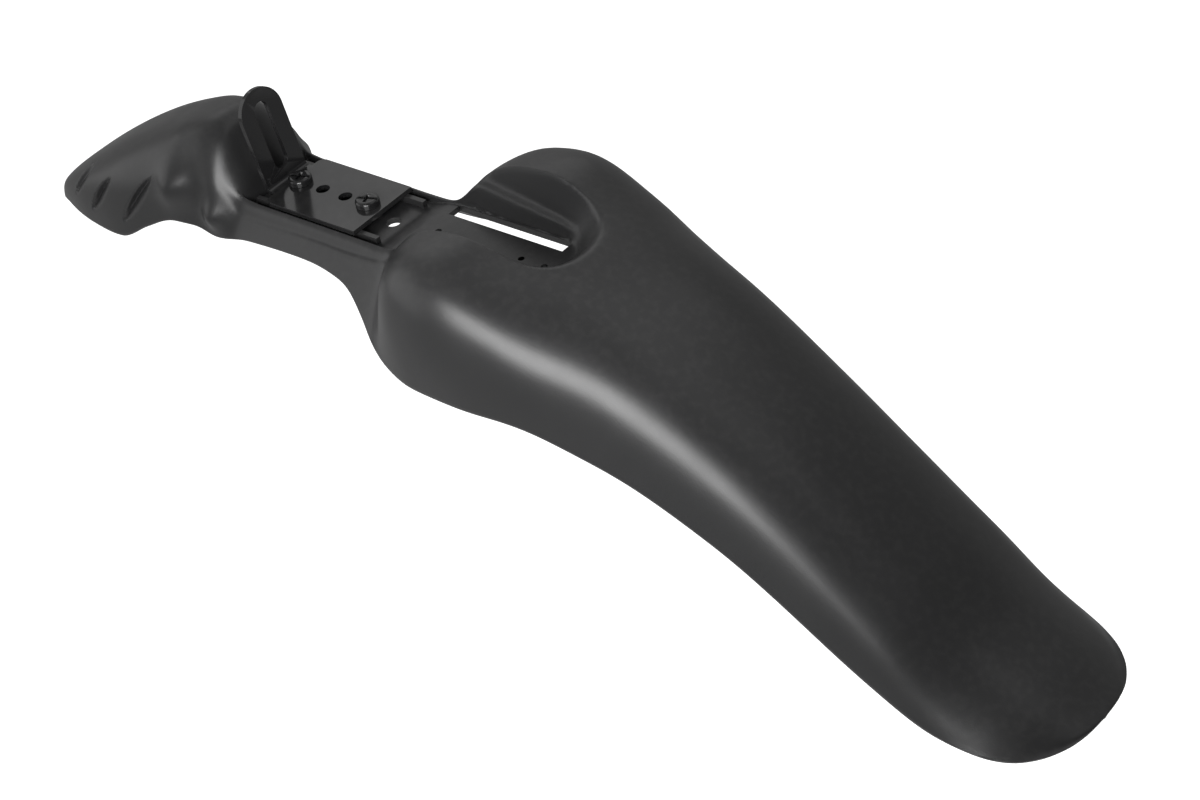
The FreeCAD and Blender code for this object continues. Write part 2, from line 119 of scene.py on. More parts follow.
# Half width at the shoulder, where the top turns over into the side
SHOULDER_PLAN = [
    (-161.8, 0.4), (-161.3, 4.5), (-160, 8.4), (-157, 12.6), (-147, 19.5), (-120, 27), (-98, 29),
    (-80, 28.0), (-67, 27.0), (-60, 25.2), (-53, 23.4), (-46, 21.6), (-38, 19.9), (-33, 19.5),
    (30, 19.5), (43, 19.8), (50, 25), (60, 39.5), (75, 49), (92, 52), (120, 49), (160, 42),
    (234.5, 37), (288.5, 37),
    (302.5, 34.8), (312, 30.5), (320, 24), (325.5, 16.5), (328, 10.5), (329, 5.2), (329.3, 0.4),
]
# How far the shoulder lies below the crest
SHOULDER_DROP = [
    (-161.8, 0.1), (-150, 2.2), (-120, 6), (-100, 8), (-84, 10.5), (-70, 12), (-60, 13), (-52, 13.5),
    (-45, 12.5), (-41, 9), (-37, 4.5), (-33, 1.0), (-30, 0.0), (46, 0.2), (92, 3.6), (120, 6.5),
    (140, 10), (264.5, 10.5), (288.5, 12.5), (316.5, 6.0), (329.3, 0.1),
]
# Height of the skirt's bulge, as a share of the way from the edge up to the shoulder
SKIRT_SHARE = [
    (-161.8, 0.5), (-120, 0.45), (-68, 0.45), (-41, 0.66), (25, 0.68), (60, 0.52), (120, 0.5),
    (264.5, 0.4), (329.3, 0.5),
]
# How far the skirt's bulge stands outside the shoulder
SKIRT_STAND = [
    (-161.8, 0.1), (-120, 3), (-76, 3.4), (-66, 3.2), (-54, 1.0), (-45, 4.6), (-34, 1.2), (25, 1.2),
    (48, 6), (92, 5), (160, 4), (264.5, 3.5), (302.5, 1.5), (329.3, 0.1),
]

# Grooves on the sides of the nose: (top, bottom, width, depth) in side view
GROOVES = [
    ((-74.5, 3.2), (-94.8, -20.8), 6.0, 2.6),
    ((-102.2, -5.0), (-117.0, -23.0), 5.6, 2.4),
    ((-121.2, -8.0), (-131.5, -22.0), 5.0, 1.7),
]

# Swellings on the sides behind the hood: (x, z, reach, height) in side view
SWELLINGS = [
    (-62.5, 1.8, 8.0, 3.8),
    (-46.0, -8.0, 5.2, 2.8),
]

# Soft crease that parts the waist's rim from its flared side: (y, half width, depth)
RIM_CREASE = (20.9, 0.9, 0.8)
CREASE_START = -44
CREASE_END = 50

# Half width within which the round tips of the moulding lose their wall
TIP_FADE = 12

# How finely the moulding is meshed: rows from crest to edge, with more where the section turns
ROWS = 64
ROW_SAMPLES = 360
TURN_WEIGHT = 3.0
ROW_SMOOTHING = 10
RIM_STEPS = 4
END_STEPS = 3
NOSE_ROUND_END = -144
TAIL_ROUND_START = 305
ROUND_SECTIONS = 25

# Stretches of the moulding between its round ends: (start, stop, gap at the start, gap at the stop)
SECTION_RUNS = [
    (NOSE_ROUND_END, -134, 1.2, 0.8),
    (-134, -72, 0.8, 0.8),
    (-72, -30, 0.9, 1.2),
    (-30, 42, 2.4, 1.5),
    (42, 137, 1.3, 1.6),
    (137, TAIL_ROUND_START, 2.8, 2.2),
]


def along(points, xs):
    """Smooth curve through (x, value) points without overshoot, read at each of xs."""
    px = np.array([p[0] for p in points], float)
    pv = np.array([p[1] for p in points], float)
    slopes = np.diff(pv) / np.diff(px)
    before = slopes[:-1]
    after = slopes[1:]
    same_way = before * after > 0
    inner = np.where(same_way, 2 * before * after / np.where(same_way, before + after, 1.0), 0.0)
    tangents = np.concatenate([slopes[:1], inner, slopes[-1:]])
    x = np.clip(xs, px[0], px[-1])
    i = np.clip(np.searchsorted(px, x, side="right") - 1, 0, len(px) - 2)
    step = px[i + 1] - px[i]
    t = (x - px[i]) / step
    value = pv[i] * (1 + 2 * t) * (1 - t) ** 2 + tangents[i] * step * t * (1 - t) ** 2
    return value + pv[i + 1] * t * t * (3 - 2 * t) + tangents[i + 1] * step * t * t * (t - 1)


def eased(points, xs):
    """The same curve averaged over a short reach, so that no knot of it shows as a ripple."""
    first = points[0][0]
    last = points[-1][0]
    reach = np.where(np.asarray(xs) < -25, 3.0, 6.0)
    reach = reach * np.clip(np.minimum(xs - first - 8.0, last - xs - 8.0) / 25.0, 0, 1)
    total = 0
    weights = (1, 2, 3, 4, 3, 2, 1)
    for k, weight in enumerate(weights):
        total = total + weight * along(points, xs + reach * (k - 3) / 3)
    return total / sum(weights)


def soft_min(a, b, reach):
    """The lower of two heights, rounded where they cross."""
    h = np.clip(reach - np.abs(a - b), 0, None) / reach
    return np.minimum(a, b) - h * h * reach / 4


def soft_max(a, b, reach):
    """The higher of two heights, rounded where they cross."""
    return -soft_min(-a, -b, reach)


def curve_weights(ts, poles):
    """Weights of each pole of a clamped cubic B-spline at each of ts, from 0 to 1."""
    degree = 3
    spans = poles - degree
    knots = np.concatenate([np.zeros(degree), np.linspace(0, 1, spans + 1), np.ones(degree)])
    t = np.clip(np.asarray(ts, float), 0, 1 - 1e-9)
    weights = np.zeros((len(t), len(knots) - 1))
    for k in range(len(knots) - 1):
        weights[:, k] = (t >= knots[k]) & (t < knots[k + 1])
    for d in range(1, degree + 1):
        raised = np.zeros((len(t), len(knots) - 1 - d))
        for k in range(len(knots) - 1 - d):
            left = knots[k + d] - knots[k]
            right = knots[k + d + 1] - knots[k + 1]
            if left > 0:
                raised[:, k] += (t - knots[k]) / left * weights[:, k]
            if right > 0:
                raised[:, k] += (knots[k + d + 1] - t) / right * weights[:, k + 1]
        weights = raised
    return weights


def section_corners(x, inset):
    """Corners of the right half of the section at x, from crest to edge, moved inward by inset."""
    crest = eased(CREST, x)
    shoulder_y = eased(SHOULDER_PLAN, x)
    shoulder_z = crest - eased(SHOULDER_DROP, x)
    edge_z = eased(EDGE, x)
    skirt_z = edge_z + (shoulder_z - edge_z) * eased(SKIRT_SHARE, x)
    skirt_y = shoulder_y + eased(SKIRT_STAND, x)
    edge_y = eased(EDGE_PLAN, x)
    slope = (eased(CREST, x + 2.0) - eased(CREST, x - 2.0)) / 4
    reach = np.where(x > 0, TAIL_REACH, NOSE_REACH)
    drop = inset * (np.sqrt(1 + slope ** 2) + slope * x / reach)
    fade = np.clip(edge_y / TIP_FADE, 0, 1)
    side = inset * fade
    if inset:
        skirt_z = np.minimum(skirt_z, shoulder_z - drop - 0.5 * fade)
    ys = [0 * x, (shoulder_y - side) / 2, shoulder_y - side, skirt_y - side, edge_y - side]
    zs = [crest - drop, crest - drop, shoulder_z - drop, skirt_z, edge_z]
    return np.stack(ys, -1), np.stack(zs, -1)


def opening_height(x, y, side, wall):
    """Height at which a drafted wall with a rounded rear end, moved out by side, stands over (x, y)."""
    half_low, taper_x, end_low, end_slope, power = wall
    low = np.full(x.shape, -30.0)
    high = np.full(x.shape, 60.0)
    for _ in range(22):
        z = (low + high) / 2
        end = end_low + side + end_slope * z
        share = np.clip((x - taper_x) / np.maximum(end - taper_x, 1.0), 0, 1)
        half = (half_low + side + WALL_DRAFT * z) * (1 - share ** power) ** 0.5
        inside = half > y
        high = np.where(inside, z, high)
        low = np.where(inside, low, z)
    return (low + high) / 2


def recess_height(x, y, grow):
    """Surface of the tray and pocket over (x, y); grow moves it outward and down by the wall."""
    side = grow * WALL_GROWTH
    ramp_end = (POCKET_CREST_X, POCKET_FLOOR)
    floor = along([(POCKET_CREST_X - POCKET_RAMP, TRAY_FLOOR), ramp_end], x) - grow
    lower = opening_height(x, y, side, LOWER_WALL)
    upper = opening_height(x, y, side, UPPER_WALL)
    ledge = LEDGE_HEIGHT - LEDGE_FALL * (x - LEDGE_X) + LEDGE_TILT * (y - LEDGE_Y) - grow
    wall = soft_min(lower, soft_max(ledge, upper, LEDGE_ROUNDING_ABOVE), LEDGE_ROUNDING_BELOW)
    front = TRAY_FLOOR - grow + (TRAY_FRONT_X - side - x) / TRAY_FRONT_SLOPE
    return soft_max(soft_max(floor, wall, FLOOR_ROUNDING), front, FLOOR_ROUNDING)


def groove_depth(x, z, top, bottom, width, depth):
    """Depth of a lens-shaped groove in side view, with its steep wall on the nose side."""
    dx = bottom[0] - top[0]
    dz = bottom[1] - top[1]
    length = math.hypot(dx, dz)
    s = ((x - top[0]) * dx + (z - top[1]) * dz) / length ** 2
    w = ((x - top[0]) * dz - (z - top[1]) * dx) / length
    taper = np.clip(4 * s * (1 - s), 0, 1) ** 0.7
    share = np.clip(w / np.maximum(width / 2 * taper, 0.01), -1, 1)
    rise = np.clip((share + 1) / 1.5, 0, 1) ** 1.4
    wall = np.clip((1 - share) / 0.35, 0, 1)
    return depth * taper * rise * wall


def swelling(x, z):
    """Height of the soft bumps on the sides behind the hood."""
    total = 0 * x
    for place_x, place_z, reach, height in SWELLINGS:
        total = total + height * np.exp(-((x - place_x) ** 2 + (z - place_z) ** 2) / reach ** 2)
    return total


def side_forms(x, y, z):
    """Press the crease and the grooves into the right half's outside, and raise the swellings on it."""
    crease_y, crease_reach, crease_depth = RIM_CREASE
    span = np.clip((x - CREASE_START) / 8, 0, 1) * np.clip((CREASE_END - x) / 12, 0, 1)
    span = span * np.clip((z + 9) / 2, 0, 1)
    z = z - span * crease_depth * np.exp(-((y - crease_y) / crease_reach) ** 2)
    normal_y = -np.gradient(z, axis=1)
    normal_z = np.gradient(y, axis=1)
    size = np.hypot(normal_y, normal_z) + 1e-9
    out = swelling(x, z)
    for top, bottom, width, depth in GROOVES:
        out = out - groove_depth(x, z, top, bottom, width, depth)
    out = out * np.clip((y - 10) / 5, 0, 1)
    return y + out * normal_y / size, z + out * normal_z / size


def spread_rows(y, z, count):
    """Places of count rows along each section, spread by length and closer where it turns."""
    dy = np.diff(y, axis=1)
    dz = np.diff(z, axis=1)
    heading = np.unwrap(np.arctan2(dz, dy), axis=1)
    turn = np.abs(np.diff(heading, axis=1, prepend=heading[:, :1]))
    measure = np.cumsum(np.hypot(dy, dz) + TURN_WEIGHT * turn, axis=1)
    measure = np.concatenate([np.zeros((len(y), 1)), measure], 1)
    places = np.arange(y.shape[1])
    rows = np.array([np.interp(np.linspace(0, m[-1], count), m, places) for m in measure])
    # Let each row run evenly from section to section
    for _ in range(ROW_SMOOTHING):
        rows[1:-1] = (rows[:-2] + 2 * rows[1:-1] + rows[2:]) / 4
    return rows


def half_sections(xs, inset):
    """Right half of every section as ROWS points from the crest to the edge."""
    ys, zs = section_corners(xs, inset)
    poles_y = np.concatenate([-ys[:, :0:-1], ys], 1)
    poles_z = np.concatenate([zs[:, :0:-1], zs], 1)
    weights = curve_weights(np.linspace(0.5, 1.0, ROW_SAMPLES), poles_y.shape[1])
    y = poles_y @ weights.T
    z = poles_z @ weights.T
    x = np.repeat(xs[:, None], ROW_SAMPLES, 1)
    near = (xs > RECESS_REACH[0]) & (xs < RECESS_REACH[1])
    edge_rounding = RECESS_EDGE_INSIDE if inset else RECESS_EDGE_OUTSIDE
    lowered = soft_min(z[near], recess_height(x[near], y[near], inset), edge_rounding)
    z[near] = np.where(y[near] < RECESS_HALF_WIDTH, lowered, z[near])
    if not inset:
        y, z = side_forms(x, y, z)
    rows = spread_rows(y, z, ROWS)
    places = np.arange(ROW_SAMPLES)
    points = np.zeros((len(xs), ROWS, 3))
    for i in range(len(xs)):
        points[i, :, 0] = xs[i]
        points[i, :, 1] = np.interp(rows[i], places, y[i])
        points[i, :, 2] = np.interp(rows[i], places, z[i])
    return points


def spaced(start, stop, gap_start, gap_stop):
    """Places from start to stop whose gaps grow or shrink evenly."""
    count = max(2, round((stop - start) / ((gap_start + gap_stop) / 2)))
    gaps = np.linspace(gap_start, gap_stop, count)
    places = start + np.concatenate([[0], np.cumsum(gaps)]) * (stop - start) / gaps.sum()
    return places[:-1]


def shell_places():
    """Places of the sections, closer together towards both round ends."""
    ends = np.linspace(0, 1, ROUND_SECTIONS)[1:] ** 2
    nose = CREST[0][0]
    tail = CREST[-1][0]
    runs = [[nose], nose + (NOSE_ROUND_END - nose) * ends[:-1]]
    for run in SECTION_RUNS:
        runs.append(spaced(*run))
    runs.append((tail - (tail - TAIL_ROUND_START) * ends)[::-1])
    runs.append([tail])
    return np.concatenate(runs)


def shell_points():
    """Points of the right half of the wall: along the outside, round the rim and back inside."""
    xs = shell_places()
    outer = half_sections(xs, 0.0)
    inner = half_sections(xs, WALL)
    reach = np.where(xs > 0, TAIL_REACH, NOSE_REACH)
    inner[:, :, 0] = (xs * (reach - WALL) / reach)[:, None]
    # Stop both sides short of the edge, so that the rounded rim ends at it
    last = outer[:, -1] - outer[:, -2]
    back = last / (np.linalg.norm(last, axis=1)[:, None] + 1e-9) * WALL / 2
    back = back * np.clip(outer[:, -1, 1:2] / TIP_FADE, 0, 1)
    outer[:, -1] -= back
    outer[:, -2] = (outer[:, -3] + outer[:, -1]) / 2
    inner[:, -1] -= back
    inner[:, -2] = (inner[:, -3] + inner[:, -1]) / 2
    middle = (outer[:, -1] + inner[:, -1]) / 2
    radius = (outer[:, -1] - inner[:, -1]) / 2
    size = np.linalg.norm(radius, axis=1)[:, None]
    # The rim bulges out square to the edge's own run, also round the tips
    run = np.gradient(middle, axis=0)
    out = np.cross(radius, run)
    out = out / (np.linalg.norm(out, axis=1)[:, None] + 1e-9)
    rim = []
    for k in range(1, RIM_STEPS + 1):
        angle = math.pi * k / (RIM_STEPS + 1)
        rim.append(middle + radius * math.cos(angle) + out * size * math.sin(angle))
    rim = np.stack(rim, 1)
    wall = np.concatenate([outer, rim, inner[:, ::-1]], 1)
    # Close both ends with the same half-round edge
    core = (outer + inner) / 2
    centre = np.concatenate([core, np.repeat(middle[:, None], RIM_STEPS, 1), core[:, ::-1]], 1)
    caps = []
    for end in (0, -1):
        arm = wall[end] - centre[end]
        bulge = out[end] * np.linalg.norm(arm, axis=1)[:, None]
        rings = []
        for k in range(1, END_STEPS + 1):
            angle = math.pi / 2 * k / END_STEPS
            rings.append(centre[end] + arm * math.cos(angle) + bulge * math.sin(angle))
        caps.append(np.stack(rings))
    return np.concatenate([caps[0][::-1], wall, caps[1]], 0)


def new_piece(name, bm, slot, *nodes):
    """An object at the origin from a finished bmesh, riding on the one body."""
    mesh = bpy.data.meshes.new(name)
    bm.to_mesh(mesh)
    bm.free()
    piece = bpy.data.objects.new(name, mesh)
    bpy.context.scene.collection.objects.link(piece)
    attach(piece, "root")
    if nodes:
        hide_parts(*nodes)
    return piece


def shell_bmesh():
    """The closed moulding: a grid laid over the points of one half, then mirrored."""
    points = shell_points()
    columns, rows = points.shape[:2]
    bm = bmesh.new()
    bmesh.ops.create_grid(bm, x_segments=columns - 1, y_segments=rows - 1, size=1.0)
    for v in bm.verts:
        i = round((v.co.x + 1) / 2 * (columns - 1))
        j = round((v.co.y + 1) / 2 * (rows - 1))
        v.co = Vector(points[i, j]) * MM
    bmesh.ops.remove_doubles(bm, verts=bm.verts, dist=2e-6)
    bmesh.ops.mirror(bm, geom=bm.verts[:] + bm.edges[:] + bm.faces[:], axis="Y", merge_dist=2e-6)
    bmesh.ops.dissolve_degenerate(bm, edges=bm.edges, dist=1e-6)
    bmesh.ops.recalc_face_normals(bm, faces=bm.faces)
    return bm


def post(bm, x, y, z_low, z_high, radius, segments=32):
    """Add an upright round post to bm."""
    made = bmesh.ops.create_cone(
        bm, cap_ends=True, segments=segments,
        radius1=radius * MM, radius2=radius * MM, depth=(z_high - z_low) * MM,
    )
    bmesh.ops.translate(bm, verts=made["verts"], vec=Vector((x, y, (z_low + z_high) / 2)) * MM)


def block(bm, low, high):
    """Add a square-cornered block to bm."""
    made = bmesh.ops.create_cube(bm, size=1.0)
    size = [(b - a) * MM for a, b in zip(low, high)]
    bmesh.ops.scale(bm, verts=made["verts"], vec=size)
    bmesh.ops.translate(bm, verts=made["verts"], vec=[(a + b) / 2 * MM for a, b in zip(low, high)])


def hole_places():
    """Places of the tray's holes along the guard; the screws take the first and the fourth."""
    return [FIRST_HOLE + i * HOLE_PITCH for i in range(TRAY_HOLES)]


def combine(piece, bm, operation):
    """Join a second form to a piece, or cut it away."""
    mesh = bpy.data.meshes.new("form")
    bm.to_mesh(mesh)
    bm.free()
    form = bpy.data.objects.new("form", mesh)
    bpy.context.scene.collection.objects.link(form)
    step = piece.modifiers.new("form", "BOOLEAN")
    step.operation = operation
    step.solver = "EXACT"
    step.object = form
    bpy.context.view_layer.update()
    made = bpy.data.meshes.new_from_object(piece.evaluated_get(bpy.context.evaluated_depsgraph_get()))
    piece.modifiers.remove(step)
    old = piece.data
    piece.data = made
    bpy.data.meshes.remove(old)
    bpy.data.objects.remove(form)
    bpy.data.meshes.remove(mesh)


def moulded_shell():
    """The moulding with the rests and ribs in its tray, and its holes and strap slots."""
    shell = new_piece("shell_moulding", shell_bmesh(), "shell_plastic", "mudguard_shell")
    added = bmesh.new()
    rest_foot = TRAY_FLOOR - WALL / 2
    for x in (hole_places()[0], hole_places()[3]):
        post(added, x, 0, rest_foot, -STRIP, REST_RADIUS)
    for y in (-RIB_Y, RIB_Y):
        block(added, (RIB_START, y - RIB_HALF_WIDTH, rest_foot), (RIB_END, y + RIB_HALF_WIDTH, -STRIP))
    combine(shell, added, "UNION")
    cut = bmesh.new()
    for x in hole_places():
        post(cut, x, 0, -20, 10, TRAY_HOLE_DIAMETER / 2)
    for x in DRAIN_XS:
        post(cut, x, 0, -20, 10, DRAIN_DIAMETER / 2, 16)
    for side in (-1, 1):
        near, far = sorted((side * SLOT_OUTER, side * (SLOT_OUTER - SLOT_WIDTH)))
        block(cut, (SLOT_START, near, -14), (SLOT_END, far, 6))
    combine(shell, cut, "DIFFERENCE")
    shade(shell, 40, flat_faces=False)
    return shell


def loose_bmesh(mesh):
    """A bmesh copy of a mesh, to work it over."""
    bm = bmesh.new()
    bm.from_mesh(mesh)
    return bm


def refresh(piece, bm):
    """Write a worked-over bmesh back to its piece."""
    bm.to_mesh(piece.data)
    bm.free()


def soften(piece, width, steps, least_angle):
    """Round off every edge of a piece that turns by more than least_angle degrees."""
    bm = loose_bmesh(piece.data)
    bmesh.ops.remove_doubles(bm, verts=bm.verts, dist=2e-6)
    bmesh.ops.dissolve_limit(bm, angle_limit=math.radians(1), verts=bm.verts, edges=bm.edges)
    turning = []
    for edge in bm.edges:
        if len(edge.link_faces) == 2 and edge.calc_face_angle() > math.radians(least_angle):
            turning.append(edge)
    bmesh.ops.bevel(
        bm, geom=turning, offset=width * MM, segments=steps, profile=0.5,
        affect="EDGES", material=-1, clamp_overlap=True,
    )
    refresh(piece, bm)


def shade(piece, angle, flat_faces=True):
    """Smooth shading with sharp edges above angle; flat faces are kept flat where asked."""
    piece.data.polygons.foreach_set("use_smooth", [True] * len(piece.data.polygons))
    piece.data.set_sharp_from_angle(angle=math.radians(angle))
    if flat_faces:
        normals = piece.modifiers.new("even_normals", "WEIGHTED_NORMAL")
        normals.keep_sharp = True


# Bracket of bent strip: flat foot, short tongue, bend and slotted tab
STRIP = 2.0
FOOT_LENGTH = 47.5
FOOT_WIDTH = 32.6
FOOT_CORNER = 3.0
FOOT_HOLE = 5.5
FOOT_HOLES = 4
TONGUE_END = -25.0
BEND_RADIUS = 2.0
BEND_ANGLE = math.radians(80.5)
BEND_LENGTH = BEND_RADIUS * BEND_ANGLE
BEND_STEPS = 14
TAB_WIDTH = 21.0
TAB_LENGTH = 37.0
TAB_SLOT_WIDTH = 7.0
TAB_SLOT = (3.0, 31.5)
BRACKET_EDGE = 0.28


def arc(centre_x, centre_y, radius, start, stop, steps):
    """Points of an arc about a centre, from one angle to another in degrees."""
    points = []
    for k in range(steps + 1):
        angle = math.radians(start + (stop - start) * k / steps)
        points.append((centre_x + radius * math.cos(angle), centre_y + radius * math.sin(angle)))
    return points


def plate(outline, low, high):
    """A bmesh of a flat outline of (x, y) points, raised from low to high."""
    bm = bmesh.new()
    face = bm.faces.new([bm.verts.new(Vector((x, y, low)) * MM) for x, y in outline])
    raised = bmesh.ops.extrude_face_region(bm, geom=[face])
    top = [v for v in raised["geom"] if isinstance(v, bmesh.types.BMVert)]
    bmesh.ops.translate(bm, verts=top, vec=(0, 0, (high - low) * MM))
    bmesh.ops.recalc_face_normals(bm, faces=bm.faces)
    return bm


def bracket_outline():
    """The strip before it is bent: the foot, and the tab with its round end."""
    foot_end = -FOOT_LENGTH / 2
    foot_side = FOOT_WIDTH / 2
    round_x = TONGUE_END - BEND_LENGTH - (TAB_LENGTH - TAB_WIDTH / 2)
    half = [(-foot_end, foot_side)]
    half += arc(foot_end + FOOT_CORNER, foot_side - FOOT_CORNER, FOOT_CORNER, 90, 180, 6)
    half.append((foot_end, TAB_WIDTH / 2))
    half += arc(round_x, 0, TAB_WIDTH / 2, 90, 180, 24)
    return half + [(x, -y) for x, y in reversed(half[:-1])]


def tab_slot():
    """The form of the tab's slot: two round ends joined by straight sides."""
    radius = TAB_SLOT_WIDTH / 2
    near_x = TONGUE_END - BEND_LENGTH - TAB_SLOT[0] - radius
    far_x = TONGUE_END - BEND_LENGTH - TAB_SLOT[1] + radius
    rim = arc(far_x, 0, radius, 90, 270, 20) + arc(near_x, 0, radius, -90, 90, 20)
    return plate(rim, -5, 5)


def bent(x, z):
    """Where a point of the flat strip comes to lie once the tab is bent up."""
    past = TONGUE_END - x
    if past <= 0:
        return x, z
    angle = min(past / BEND_RADIUS, BEND_ANGLE)
    radius = BEND_RADIUS - z
    straight = max(past - BEND_LENGTH, 0)
    new_x = TONGUE_END - radius * math.sin(angle) - straight * math.cos(angle)
    new_z = BEND_RADIUS - radius * math.cos(angle) + straight * math.sin(angle)
    return new_x, new_z


def bracket():
    """The bracket: cut flat, its edges broken, then bent."""
    piece = new_piece("bent_bracket", plate(bracket_outline(), -STRIP, 0), "bracket_paint", "fork_bracket")
    cut = bmesh.new()
    for x in hole_places()[:FOOT_HOLES]:
        post(cut, x, 0, -5, 5, FOOT_HOLE / 2, 40)
    combine(piece, cut, "DIFFERENCE")
    combine(piece, tab_slot(), "DIFFERENCE")
    soften(piece, BRACKET_EDGE, 3, 40)
    bm = loose_bmesh(piece.data)
    for k in range(BEND_STEPS + 1):
        x = TONGUE_END - BEND_LENGTH * k / BEND_STEPS
        everything = bm.verts[:] + bm.edges[:] + bm.faces[:]
        bmesh.ops.bisect_plane(bm, geom=everything, dist=1e-8, plane_co=(x * MM, 0, 0), plane_no=(1, 0, 0))
    for v in bm.verts:
        x, z = bent(v.co.x / MM, v.co.z / MM)
        v.co.x = x * MM
        v.co.z = z * MM
    refresh(piece, bm)
    shade(piece, 32)
    return piece


# Screws: head, plain shank under it, and a thread shown as rings
HEAD_RADIUS = 4.75
HEAD_HEIGHT = 2.8
HEAD_EDGE = 1.2
HEAD_LAND = 0.4
HEAD_CROWN = 0.02
HEAD_UNDER = 0.15
SHANK_RADIUS = 2.48
SHANK_END = -4.2
THREAD_RADIUS = 2.5
THREAD_START = -4.8
THREAD_PITCH = 0.8
THREAD_DEPTH = 0.35
THREAD_FLAT = 0.1
THREAD_FLANK = 0.3
SCREW_LENGTH = 16.0
POINT_LENGTH = 0.45
POINT_PLAY = 1.6

# Cuts across the head: (length, width, depth), and how far their floor is narrowed
SLOT_CUT = (10.4, 1.5, 1.3)
CROSS_CUT = (6.2, 1.5, 1.9)
CUT_TURN = 20
CUT_TAPER = (0.75, 0.8)

# Washers and nuts under the tray
WASHER_RADIUS = 5.0
WASHER_BORE = 2.65
WASHER_THICKNESS = 1.0
WASHER_EDGE = 0.12
NUT_FLATS = 8.0
NUT_HEIGHT = 4.7
NUT_TOP = TRAY_FLOOR - WALL - WASHER_THICKNESS
NUT_CHAMFER = math.radians(30)
BORE_CLEARANCE = 0.05
BORE_CHAMFER = 0.5


def turned(bm, profile, x, steps=64):
    """Spin a closed or axis-to-axis profile of (radius, z) about the upright axis at x."""
    rows = []
    for radius, z in profile:
        rows.append(bm.verts.new(Vector((x + radius, 0, z)) * MM))
    edges = []
    for a, b in zip(rows, rows[1:]):
        edges.append(bm.edges.new((a, b)))
    bmesh.ops.spin(
        bm, geom=rows + edges, cent=Vector((x, 0, 0)) * MM, axis=(0, 0, 1), dvec=(0, 0, 0),
        angle=2 * math.pi, steps=steps, use_merge=True,
    )
    bmesh.ops.remove_doubles(bm, verts=bm.verts, dist=1e-7)
    bmesh.ops.recalc_face_normals(bm, faces=bm.faces)


def screw_profile():
    """Half outline of a screw as (radius, z), from the middle of its head to the end of its shank."""
    edge_radius = HEAD_RADIUS - HEAD_EDGE
    profile = [(0.0, HEAD_HEIGHT), (edge_radius - HEAD_LAND, HEAD_HEIGHT)]
    profile += arc(edge_radius, HEAD_HEIGHT - HEAD_EDGE - HEAD_CROWN, HEAD_EDGE, 90, 0, 6)
    profile += [(HEAD_RADIUS, HEAD_UNDER), (HEAD_RADIUS - HEAD_UNDER, 0.0)]
    profile += [(SHANK_RADIUS, 0.0), (SHANK_RADIUS, SHANK_END)]
    root = THREAD_RADIUS - THREAD_DEPTH
    z = THREAD_START
    while z > POINT_PLAY - SCREW_LENGTH:
        flank_end = z - THREAD_FLAT - THREAD_FLANK
        profile += [(THREAD_RADIUS, z), (THREAD_RADIUS, z - THREAD_FLAT)]
        profile += [(root, flank_end), (root, flank_end - THREAD_FLAT)]
        z -= THREAD_PITCH
    profile.append((THREAD_RADIUS - 0.1, POINT_LENGTH - SCREW_LENGTH))
    profile.append((THREAD_RADIUS - 0.1 - POINT_LENGTH, -SCREW_LENGTH))
    profile.append((0.0, -SCREW_LENGTH))
    return profile


def head_cut(x, angle, size):
    """A bar across the top of the head at x, turned by angle and narrower at its floor."""
    length, width, depth = size
    cut = bmesh.new()
    bar = bmesh.ops.create_cube(cut, size=1.0)["verts"]
    bmesh.ops.scale(cut, verts=bar, vec=Vector((length, width, 2 * depth)) * MM)
    for v in bar:
        if v.co.z < 0:
            v.co.x *= CUT_TAPER[0]
            v.co.y *= CUT_TAPER[1]
    turn = Matrix.Rotation(math.radians(angle), 3, "Z")
    bmesh.ops.rotate(cut, verts=bar, cent=(0, 0, 0), matrix=turn)
    bmesh.ops.translate(cut, verts=bar, vec=Vector((x, 0, HEAD_HEIGHT)) * MM)
    return cut


def screw(end, x):
    """One of the two screws, named for its end of the bracket."""
    bm = bmesh.new()
    turned(bm, screw_profile(), x)
    piece = new_piece(end + "_pan_screw", bm, "screw_finish", end + "_screw")
    combine(piece, head_cut(x, CUT_TURN, SLOT_CUT), "DIFFERENCE")
    combine(piece, head_cut(x, CUT_TURN + 90, CROSS_CUT), "DIFFERENCE")
    soften(piece, 0.12, 2, 45)
    shade(piece, 32, flat_faces=False)
    return piece


def washer(end, x):
    """The plain washer under the tray at one screw."""
    low = NUT_TOP
    high = NUT_TOP + WASHER_THICKNESS
    low_edge = low + WASHER_EDGE
    high_edge = high - WASHER_EDGE
    profile = [
        (WASHER_BORE, low_edge), (WASHER_BORE, high_edge),
        (WASHER_BORE + WASHER_EDGE, high), (WASHER_RADIUS - WASHER_EDGE, high),
        (WASHER_RADIUS, high_edge), (WASHER_RADIUS, low_edge),
        (WASHER_RADIUS - WASHER_EDGE, low), (WASHER_BORE + WASHER_EDGE, low),
        (WASHER_BORE, low_edge),
    ]
    bm = bmesh.new()
    turned(bm, profile, x, 72)
    piece = new_piece(end + "_plain_washer", bm, "washer_steel", end + "_washer")
    shade(piece, 40)
    return piece


